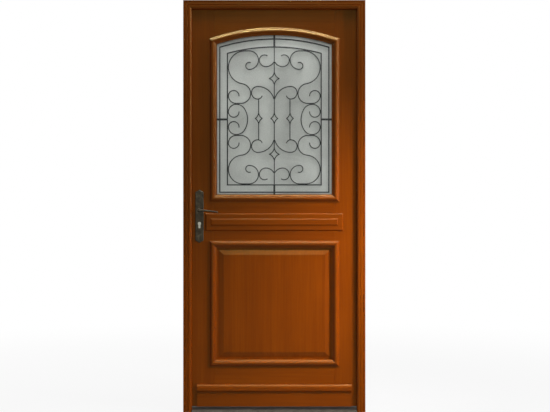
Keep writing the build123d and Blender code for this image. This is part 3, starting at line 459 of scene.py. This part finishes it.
@dataclass(frozen=True)
class AgedBronze(Finish):
    """Dark bronze with a greenish brown patina, rubbed paler in patches."""

    dark: Colour = (0.018, 0.015, 0.010)
    brown: Colour = (0.043, 0.035, 0.022)
    rubbed: Colour = (0.135, 0.110, 0.068)
    stops: tuple[float, ...] = (0.34, 0.55, 0.78)
    patina: Layer = Layer(46.0, 5.0, 0.62)
    specks: Layer = Layer(420.0, 2.0, 0.6)
    scratches: Layer = Layer(900.0, 1.0, 0.5, (1.0, 1.0, 0.06))
    speck_share: float = 0.25
    roughness: float = 0.30
    patina_roughness: float = 0.22
    metal: float = 0.9
    scratch_relief: float = 0.4
    relief: Relief = Relief(0.00015, 0.3)

    def surface(self, board: NodeBoard) -> dict[str, Any]:
        """Patina in clouds with specks and fine scratches.

        Args:
            board: node tree of the new material.

        Returns:
            Values and signals of the shader's sockets, by name.
        """
        place = board.place()
        patina = board.noise(place, self.patina)
        specks = board.noise(place, self.specks)
        scratches = board.noise(place, self.scratches)
        figure = patina * (1.0 - self.speck_share) + specks * self.speck_share
        height = specks * (1.0 - self.scratch_relief) + scratches * self.scratch_relief
        return {
            "Base Color": board.ramp(figure, self.stops, (self.dark, self.brown, self.rubbed)),
            "Roughness": self.roughness + patina * self.patina_roughness,
            "Metallic": self.metal,
            "Normal": board.bump(height, self.relief),
        }


@dataclass(frozen=True)
class DrawnMetal(Finish):
    """Drawn or rolled metal with fine lines along one direction."""

    colour: Colour
    worn: Colour
    lines: Layer = UPRIGHT_LINES
    roughness: float = 0.34
    stops: tuple[float, ...] = (0.36, 0.64)
    clouds: Layer = Layer(30.0, 4.0, 0.6)
    line_share: float = 0.35
    cloud_roughness: float = 0.14
    line_roughness: float = 0.08
    metal: float = 0.92
    relief: Relief = Relief(0.00008, 0.3)

    def surface(self, board: NodeBoard) -> dict[str, Any]:
        """Drawing lines and dull clouds.

        Args:
            board: node tree of the new material.

        Returns:
            Values and signals of the shader's sockets, by name.
        """
        place = board.place()
        lines = board.noise(place, self.lines)
        clouds = board.noise(place, self.clouds)
        figure = lines * self.line_share + clouds * (1.0 - self.line_share)
        return {
            "Base Color": board.ramp(figure, self.stops, (self.worn, self.colour)),
            "Roughness": self.roughness + clouds * self.cloud_roughness + lines * self.line_roughness,
            "Metallic": self.metal,
            "Normal": board.bump(lines, self.relief),
        }


@dataclass(frozen=True)
class SoftRubber(Finish):
    """Black extruded rubber with a dusty bloom."""

    black: Colour = (0.012, 0.012, 0.012)
    dusty: Colour = (0.035, 0.034, 0.033)
    stops: tuple[float, ...] = (0.4, 0.7)
    bloom: Layer = Layer(60.0, 4.0, 0.6)
    skin: Layer = Layer(1500.0, 1.0)
    roughness: float = 0.62
    bloom_roughness: float = 0.2
    relief: Relief = Relief(0.0001, 0.3)

    def surface(self, board: NodeBoard) -> dict[str, Any]:
        """Bloom in clouds over a fine skin.

        Args:
            board: node tree of the new material.

        Returns:
            Values and signals of the shader's sockets, by name.
        """
        place = board.place()
        bloom = board.noise(place, self.bloom)
        skin = board.noise(place, self.skin)
        return {
            "Base Color": board.ramp(bloom, self.stops, (self.black, self.dusty)),
            "Roughness": self.roughness + bloom * self.bloom_roughness,
            "Normal": board.bump(skin, self.relief),
        }


@dataclass(frozen=True)
class ObscuredGlass(Finish):
    """Cast glass with a pebbled face that only lets light through."""

    shade: Colour = (0.340, 0.344, 0.326)
    bright: Colour = (0.570, 0.578, 0.550)
    stops: tuple[float, ...] = (0.3, 0.66)
    body: Layer = Layer(4.5, 3.0)
    pebble_scale: float = 210.0
    pebble_softness: float = 0.6
    pebble_share: float = 0.3
    roughness: float = 0.34
    pebble_roughness: float = 0.2
    relief: Relief = Relief(0.0012, 0.45)
    clearness: float = 0.85

    def surface(self, board: NodeBoard) -> dict[str, Any]:
        """Pebbles for the relief, with a cloudy body.

        Args:
            board: node tree of the new material.

        Returns:
            Values and signals of the shader's sockets, by name.
        """
        place = board.place()
        settings = {"feature": "SMOOTH_F1"}
        inputs = {"Vector": place, "Scale": self.pebble_scale, "Smoothness": self.pebble_softness}
        pebbles = board.node("ShaderNodeTexVoronoi", settings, inputs, "Distance")
        body = board.noise(place, self.body)
        figure = body * (1.0 - self.pebble_share) + pebbles * self.pebble_share
        return {
            "Base Color": board.ramp(figure, self.stops, (self.shade, self.bright)),
            "Roughness": self.roughness + pebbles * self.pebble_roughness,
            "Normal": board.bump(pebbles, self.relief),
            "Transmission Weight": self.clearness,
            "IOR": GLASS_INDEX,
        }


@dataclass(frozen=True)
class ClearGlass(Finish):
    """Clear float glass with a faint green body and slight smears."""

    tint: Colour = (0.86, 0.90, 0.87)
    smeared: Colour = (0.80, 0.84, 0.81)
    stops: tuple[float, ...] = (0.4, 0.75)
    smears: Layer = Layer(7.0, 3.0, 0.6)
    roughness: float = 0.02
    smear_roughness: float = 0.06
    clearness: float = 1.0

    def surface(self, board: NodeBoard) -> dict[str, Any]:
        """Smears over a clear body.

        Args:
            board: node tree of the new material.

        Returns:
            Values and signals of the shader's sockets, by name.
        """
        smears = board.noise(board.place(), self.smears)
        return {
            "Base Color": board.ramp(smears, self.stops, (self.tint, self.smeared)),
            "Roughness": self.roughness + smears * self.smear_roughness,
            "Transmission Weight": self.clearness,
            "IOR": GLASS_INDEX,
        }


# Carried-over nodes


@dataclass
class EdgeEasing:
    """Joins a node's loose triangles and eases its sharp edges, with modifiers alone."""

    weld_distance: float = 0.00001
    segments: int = 2
    profile: float = 0.5
    least_angle: float = 34.0
    groups: dict[Crease, bpy.types.NodeTree] = field(default_factory=dict)

    def joining_group(self, crease: Crease) -> bpy.types.NodeTree:
        """Node group that welds triangles and shades across shallow edges.

        Args:
            crease: angle past which an edge is sharp.

        Returns:
            The node group.
        """
        if crease in self.groups:
            return self.groups[crease]
        tree = bpy.data.node_groups.new(f"joined_shell_{crease.value:.0f}", "GeometryNodeTree")
        tree.interface.new_socket("Shell", in_out="INPUT", socket_type="NodeSocketGeometry")
        tree.interface.new_socket("Shell", in_out="OUTPUT", socket_type="NodeSocketGeometry")
        board = NodeBoard(tree)
        shell = board.node("NodeGroupInput", {}, {})
        welding = {"Geometry": shell, "Distance": self.weld_distance}
        welded = board.node("GeometryNodeMergeByDistance", {}, welding)
        angle = board.node("GeometryNodeInputMeshEdgeAngle", {}, {}, "Unsigned Angle")
        limit = {"A": angle, "B": math.radians(crease.value)}
        sharp = board.node("FunctionNodeCompare", {"operation": "GREATER_THAN"}, limit)
        shading = {"Mesh": welded, "Remove Custom": True, "Edge Sharpness": sharp, "Face Sharpness": False}
        shaded = board.node("GeometryNodeSetMeshNormal", {"mode": "SHARPNESS"}, shading)
        board.node("NodeGroupOutput", {}, {0: shaded})
        self.groups[crease] = tree
        return tree

    def ease(self, node: str, edge: Edge, crease: Crease = Crease.USUAL) -> None:
        """Eases one node's edges.

        Args:
            node: name of the node.
            edge: how far its edges are eased.
            crease: angle past which an edge is sharp.
        """
        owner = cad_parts[node]
        joined = owner.modifiers.new("joined_shell", "NODES")
        joined.node_group = self.joining_group(crease)
        eased = owner.modifiers.new("eased_edges", "BEVEL")
        eased.width = edge.value
        eased.segments = self.segments
        eased.profile = self.profile
        eased.limit_method = "ANGLE"
        eased.angle_limit = math.radians(max(crease.value, self.least_angle))
        eased.harden_normals = True


EASING = EdgeEasing()


def dress(node: str, material: bpy.types.Material) -> None:
    """Gives a carried-over node its material.

    Args:
        node: name of the node.
        material: the material.
    """
    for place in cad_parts[node].material_slots:
        place.material = material
    log.info("dressed %s in %s", node, material.name)


@dataclass
class Joinery:
    """All the wooden pieces, each cut from its own board."""

    upright: tuple[str, ...] = ("lock_jamb", "hinge_jamb", "lock_stile", "hinge_stile", "lower_panel")
    crosswise: tuple[str, ...] = (
        "frame_head",
        "top_rail",
        "lock_rail",
        "bottom_rail",
        "lock_rail_tablet",
        "weatherboard",
    )
    raised: tuple[str, ...] = ("lower_panel", "lock_rail_tablet")
    tone_spread: float = 0.035
    seed: int = 41
    board_seeds: int = 10000

    def mouldings(self) -> list[tuple[str, Grain]]:
        """Names the mitred mouldings.

        Returns:
            Name and way of the grain of each moulding.
        """
        ways = {
            "lock_side": Grain.UPRIGHT,
            "hinge_side": Grain.UPRIGHT,
            "base": Grain.CROSSWISE,
            "head": Grain.CROSSWISE,
        }
        return [
            (f"{side}_{kind}_moulding_{place}", way)
            for side in SIDES
            for kind in ("glazing", "panel")
            for place, way in ways.items()
        ]

    def build(self) -> None:
        """Dresses each wooden piece and eases its edges."""
        draw = random.Random(self.seed)
        boards = [(name, Grain.UPRIGHT) for name in self.upright]
        boards += [(name, Grain.CROSSWISE) for name in self.crosswise]
        edges = {name: Edge.BOARD for name, _ in boards}
        for name, way in boards + self.mouldings():
            tone = 1.0 + draw.uniform(-self.tone_spread, self.tone_spread)
            wood = VarnishedWood(way, draw.randrange(self.board_seeds), tone)
            dress(name, wood.material(f"varnished_{name}"))
            crease = Crease.RAISED_PANEL if name in self.raised else Crease.USUAL
            EASING.ease(name, edges.get(name, Edge.MOULDING), crease)


@dataclass
class Glazing:
    """The two panes, their spacer and the grille before them."""

    outer_glass: ObscuredGlass = ObscuredGlass()
    inner_glass: ClearGlass = ClearGlass()
    aluminium: DrawnMetal = DrawnMetal((0.42, 0.42, 0.41), (0.34, 0.34, 0.33))
    iron: WroughtIron = WroughtIron()

    def build(self) -> None:
        """Dresses the glass, the spacer and the grille."""
        dress("outer_pane", self.outer_glass.material("obscured_glass_sheet"))
        dress("inner_pane", self.inner_glass.material("clear_glass_sheet"))
        dress("pane_spacer", self.aluminium.material("spacer_aluminium"))
        dress("grille", self.iron.material("painted_wrought_iron"))
        EASING.ease("grille", Edge.BAR)


@dataclass
class Threshold:
    """The metal threshold and the rubber strips of the rebate."""

    metal: DrawnMetal = DrawnMetal((0.125, 0.108, 0.090), (0.075, 0.063, 0.052), CROSSWISE_LINES, 0.38)
    rubber: SoftRubber = SoftRubber()

    def build(self) -> None:
        """Dresses the threshold and the strips."""
        dress("threshold", self.metal.material("anodised_threshold"))
        dress("rebate_seal", self.rubber.material("rebate_rubber"))
        for node in ("threshold", "rebate_seal"):
            EASING.ease(node, Edge.PLATE, Crease.THRESHOLD)


@dataclass
class ScrewHeads:
    """Countersunk heads with a cross recess, set in one plate."""

    name: str
    body: str
    slot: str
    facing: Facing
    places: list[Vector]
    radius: float = 0.0036
    height: float = 0.0008
    sunk: float = 0.0002
    rim: float = 0.82
    sides: int = 20
    first_turn: float = 0.6
    next_turn: float = 1.7
    recess_width: float = 0.0011
    recess_reach: float = 0.0021
    recess_depth: float = 0.0011

    def build(self, material: bpy.types.Material) -> None:
        """Models the heads as one piece.

        Args:
            material: material of the screws.
        """
        shape = bmesh.new()
        outward = Vector(self.facing.value).to_track_quat("Z", "Y").to_matrix().to_4x4()
        for number, place in enumerate(self.places):
            turned = Matrix.Rotation(self.first_turn + self.next_turn * number, 4, "Z")
            self.add_head(shape, Matrix.Translation(place) @ outward @ turned)
        bmesh.ops.recalc_face_normals(shape, faces=shape.faces[:])
        mesh = bpy.data.meshes.new(self.name)
        shape.to_mesh(mesh)
        shape.free()
        mesh.materials.append(material)
        piece = bpy.data.objects.new(self.name, mesh)
        bpy.context.scene.collection.objects.link(piece)
        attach(piece, self.body)
        log.info("modelled %s on %s", self.name, self.body)

    def add_head(self, shape: bmesh.types.BMesh, matrix: Matrix) -> None:
        """Adds one head, with its foot just under the plate's face.

        Args:
            shape: the mesh being made.
            matrix: place and direction of the head.
        """
        made = bmesh.ops.create_cone(
            shape,
            cap_ends=True,
            segments=self.sides,
            radius1=self.radius,
            radius2=self.radius * self.rim,
            depth=self.height,
        )
        verts = made["verts"]
        lift = Matrix.Translation((0.0, 0.0, self.height / 2 - self.sunk))
        bmesh.ops.transform(shape, matrix=lift, verts=verts)
        faces = [face for vert in verts for face in vert.link_faces]
        crown = max(faces, key=lambda face: face.calc_center_median().z)
        known = set(shape.faces) - {crown}
        self.cut_crown(shape, known)
        cut = [face for face in shape.faces if face not in known]
        cross = [face for face in cut if self.in_cross(face.calc_center_median())]
        sunk = bmesh.ops.extrude_face_region(shape, geom=cross)
        moved = [item for item in sunk["geom"] if isinstance(item, bmesh.types.BMVert)]
        bmesh.ops.translate(shape, verts=moved, vec=(0.0, 0.0, -self.recess_depth))
        fresh = {vert for face in shape.faces if face not in known for vert in face.verts}
        bmesh.ops.transform(shape, matrix=matrix, verts=list(fresh | set(verts)))

    def cut_crown(self, shape: bmesh.types.BMesh, known: set[bmesh.types.BMFace]) -> None:
        """Cuts a head's crown along the sides and ends of its cross recess.

        Args:
            shape: the mesh being made.
            known: the faces that stay whole.
        """
        half = self.recess_width / 2
        for normal in (Vector((1.0, 0.0, 0.0)), Vector((0.0, 1.0, 0.0))):
            for step in (-self.recess_reach, -half, half, self.recess_reach):
                faces = [face for face in shape.faces if face not in known]
                edges = {edge for face in faces for edge in face.edges}
                verts = {vert for face in faces for vert in face.verts}
                geometry = [*faces, *edges, *verts]
                bmesh.ops.bisect_plane(shape, geom=geometry, plane_co=normal * step, plane_no=normal)

    def in_cross(self, centre: Vector) -> bool:
        """Whether a face's centre lies in the cross recess."""
        near, far = sorted((abs(centre.x), abs(centre.y)))
        return near < self.recess_width / 2 and far < self.recess_reach


@dataclass
class LockFittings:
    """Handles, lock cylinder, lock front and strike plate."""

    plate_screw_rise: float = 0.085
    plate_screw_drop: float = 0.148
    plate_screw_radius: float = 0.0044
    faceplate_screw_margin: float = 0.012
    strike_screw_margin: float = 0.011
    bronze: AgedBronze = AgedBronze()
    nickel: DrawnMetal = DrawnMetal((0.46, 0.45, 0.37), (0.36, 0.35, 0.28), roughness=0.24)
    steel: DrawnMetal = DrawnMetal((0.40, 0.40, 0.38), (0.30, 0.30, 0.285))

    def build(self) -> None:
        """Dresses the fittings and adds their screws."""
        bronze = self.bronze.material("aged_bronze_patina")
        for side in SIDES:
            dress(f"{side}_handle_plate", bronze)
            dress(f"{side}_lever", bronze)
            EASING.ease(f"{side}_handle_plate", Edge.PLATE, Crease.HANDLE_PLATE)
        dress("lock_cylinder", self.nickel.material("satin_nickel"))
        steel = self.steel.material("brushed_lock_steel")
        for node in ("lock_faceplate", "strike_plate", "handle_spindle"):
            dress(node, steel)
            EASING.ease(node, Edge.PLATE)
        self.add_screws(bronze, steel)

    def add_screws(self, bronze: bpy.types.Material, steel: bpy.types.Material) -> None:
        """Screws of the room-side plate, the lock front and the strike.

        Args:
            bronze: material of the plate's screws.
            steel: material of the other screws.
        """
        low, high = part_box("inner_handle_plate")
        middle = (low + high) / 2
        spindle_low, spindle_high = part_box("handle_spindle")
        pivot = (spindle_low.z + spindle_high.z) / 2
        heights = (pivot + self.plate_screw_rise, pivot - self.plate_screw_drop)
        places = [Vector((middle.x, high.y, height)) for height in heights]
        radius = self.plate_screw_radius
        ScrewHeads("inner_plate_screws", "leaf", "aged_bronze", Facing.ROOM, places, radius).build(bronze)
        for node, body, facing, margin in (
            ("lock_faceplate", "leaf", Facing.LOCK_SIDE, self.faceplate_screw_margin),
            ("strike_plate", "frame", Facing.HINGE_SIDE, self.strike_screw_margin),
        ):
            low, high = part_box(node)
            face = low.x if facing is Facing.LOCK_SIDE else high.x
            depth = (low.y + high.y) / 2
            places = [Vector((face, depth, low.z + margin)), Vector((face, depth, high.z - margin))]
            ScrewHeads(f"{node}_screws", body, "lock_steel", facing, places).build(steel)


@dataclass
class Hinges:
    """The three lift-off hinges with their screws."""

    plate_thickness: float = 0.003
    plate_length: float = 0.060
    knuckle_screws: tuple[tuple[float, float], ...] = ((0.010, 0.011), (0.010, 0.049), (0.029, 0.030))
    pintle_screw_inset: float = 0.0095
    pintle_screws: tuple[float, ...] = (0.011, 0.030, 0.049)
    bronzed: DrawnMetal = DrawnMetal((0.21, 0.175, 0.11), (0.13, 0.105, 0.066))

    def build(self) -> None:
        """Dresses the hinges and adds their screws."""
        metal = self.bronzed.material("hinge_bronzed_steel")
        leaf_places: list[Vector] = []
        frame_places: list[Vector] = []
        for place in HINGE_PLACES:
            knuckle = f"{place}_hinge_knuckle"
            pintle = f"{place}_hinge_pintle"
            for node in (knuckle, pintle):
                dress(node, metal)
                EASING.ease(node, Edge.PLATE)
            low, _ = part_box(knuckle)
            face = low.y + self.plate_thickness
            leaf_places += [Vector((low.x + x, face, low.z + z)) for x, z in self.knuckle_screws]
            _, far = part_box(pintle)
            aside = far.x - self.pintle_screw_inset
            foot = low.z - self.plate_length
            frame_places += [Vector((aside, face, foot + z)) for z in self.pintle_screws]
        ScrewHeads("hinge_knuckle_screws", "leaf", "hinge_metal", Facing.ROOM, leaf_places).build(metal)
        ScrewHeads("hinge_pintle_screws", "frame", "hinge_metal", Facing.ROOM, frame_places).build(metal)


# Studio


@dataclass
class Softbox:
    """One soft lamp; one for sheen alone shows in reflections and in glass, and lights nothing matt."""

    name: str
    place: Triple
    target: Triple
    power: float
    width: float
    height: float
    spread: float = 180.0
    sheen_only: bool = False

    def build(self) -> None:
        """Makes the lamp."""
        data = bpy.data.lights.new(self.name, "AREA")
        data.shape = "RECTANGLE"
        data.size = self.width
        data.size_y = self.height
        data.energy = self.power
        data.spread = math.radians(self.spread)
        lamp = bpy.data.objects.new(self.name, data)
        lamp.location = self.place
        aim = Vector(self.target) - Vector(self.place)
        lamp.rotation_euler = aim.to_track_quat("-Z", "Y").to_euler()
        lamp.visible_diffuse = not self.sheen_only
        bpy.context.scene.collection.objects.link(lamp)


@dataclass
class Studio:
    """Pale floor, soft light, white surround and the camera."""

    camera_distance: float = 6.0
    camera_height: float = 1.0814
    camera_aside: float = 0.0037
    view_width: float = 2.880
    sensor: float = 36.0
    fill: float = 0.03
    floor_size: float = 12.0
    floor_sides: int = 64
    floor_colour: Colour = (0.36, 0.36, 0.355)
    floor_white: float = 0.9
    floor_fade: tuple[float, float] = (0.6, 5.0)
    lamps: tuple[Softbox, ...] = (
        Softbox("key_softbox", (1.85, -1.35, 2.1), (0.62, 0.0, 0.77), 6.7, 0.36, 0.36, 47.0),
        Softbox("high_softbox", (1.75, -2.55, 4.0), (0.50, 0.0, 0.70), 1.5, 0.6, 0.6, 24.0),
        Softbox("side_strip", (2.2, -0.60, 1.8), (0.0, -0.03, 1.4), 26.0, 0.25, 2.0),
        Softbox("top_softbox", (0.6, -1.12, 5.4), (0.0, -0.1, 1.4), 92.0, 2.4, 0.8),
        Softbox("front_sheen", (0.0, -3.2, 3.25), (0.0, 0.0, 0.72), 9.0, 1.0, 0.35, sheen_only=True),
        Softbox("side_sheen", (2.1, -1.1, 2.3), (0.0, 0.0, 1.9), 14.0, 0.12, 1.3, sheen_only=True),
        Softbox("arch_sheen", (0.0, -0.42, 2.72), (0.0, 0.0, 2.48), 92.0, 2.2, 0.07, 110.0, sheen_only=True),
        Softbox("room_softbox", (-2.4, 2.2, 2.9), (0.0, 0.0, 1.1), 60.0, 1.2, 1.2, 120.0),
    )

    def build(self) -> None:
        """Makes the stage."""
        bpy.context.scene.view_settings.view_transform = "Standard"
        self.add_floor()
        self.add_surround()
        for lamp in self.lamps:
            lamp.build()
        self.add_camera()

    def seen(self, board: NodeBoard) -> Signal:
        """Share of a ray that looks at the background, or sees it in a sheen or through glass.

        Args:
            board: node tree of the floor or the world.

        Returns:
            1 for such a ray, and 0 for light that falls on the object.
        """
        kinds = ("Is Camera Ray", "Is Glossy Ray", "Is Transmission Ray")
        camera, glossy, through = (board.node("ShaderNodeLightPath", {}, {}, kind) for kind in kinds)
        return camera.math("MAXIMUM", camera.math("MAXIMUM", camera, glossy), through)

    def add_floor(self) -> None:
        """Pale floor that keeps the object's shadow."""
        shape = bmesh.new()
        bmesh.ops.create_circle(shape, cap_ends=True, segments=self.floor_sides, radius=self.floor_size)
        mesh = bpy.data.meshes.new("pale_floor")
        shape.to_mesh(mesh)
        shape.free()
        paint = bpy.data.materials.new("pale_floor_paint")
        paint.use_nodes = True
        board = NodeBoard(paint.node_tree)
        matt = board.node("ShaderNodeBsdfDiffuse", {}, {"Color": (*self.floor_colour, 1.0)})
        white = board.node("ShaderNodeEmission", {}, {"Color": WHITE, "Strength": 1.0})
        reach = board.node("ShaderNodeVectorMath", {"operation": "LENGTH"}, {0: board.place()}, "Value")
        far = board.span(reach, *self.floor_fade)
        share = self.seen(board) * (self.floor_white + far * (1.0 - self.floor_white))
        mixed = board.node("ShaderNodeMixShader", {}, {0: share, 1: matt, 2: white})
        board.node("ShaderNodeOutputMaterial", {}, {"Surface": mixed})
        mesh.materials.append(paint)
        floor = bpy.data.objects.new("pale_floor", mesh)
        bpy.context.scene.collection.objects.link(floor)

    def add_surround(self) -> None:
        """White surround that lights the object softly."""
        world = bpy.data.worlds.new("white_surround")
        world.use_nodes = True
        bpy.context.scene.world = world
        board = NodeBoard(world.node_tree)
        grey = (self.fill, self.fill, self.fill, 1.0)
        colour = board.blend(self.seen(board), grey, WHITE)
        light = board.node("ShaderNodeBackground", {}, {"Color": colour, "Strength": 1.0})
        board.node("ShaderNodeOutputWorld", {}, {"Surface": light})

    def add_camera(self) -> None:
        """Camera square to the door's street side."""
        data = bpy.data.cameras.new("street_camera")
        data.sensor_width = self.sensor
        data.lens = self.sensor * self.camera_distance / self.view_width
        camera = bpy.data.objects.new("street_camera", data)
        jamb_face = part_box("lock_jamb")[0].y
        camera.location = (self.camera_aside, jamb_face - self.camera_distance, self.camera_height)
        camera.rotation_euler = (math.pi / 2, 0.0, 0.0)
        bpy.context.scene.collection.objects.link(camera)
        bpy.context.scene.camera = camera


def main() -> None:
    """Builds the door's looks and the studio round it."""
    logging.basicConfig(level=logging.INFO, format="%(message)s")
    Studio().build()
    Joinery().build()
    Glazing().build()
    Threshold().build()
    LockFittings().build()
    Hinges().build()


if __name__ == "__main__":
    main()
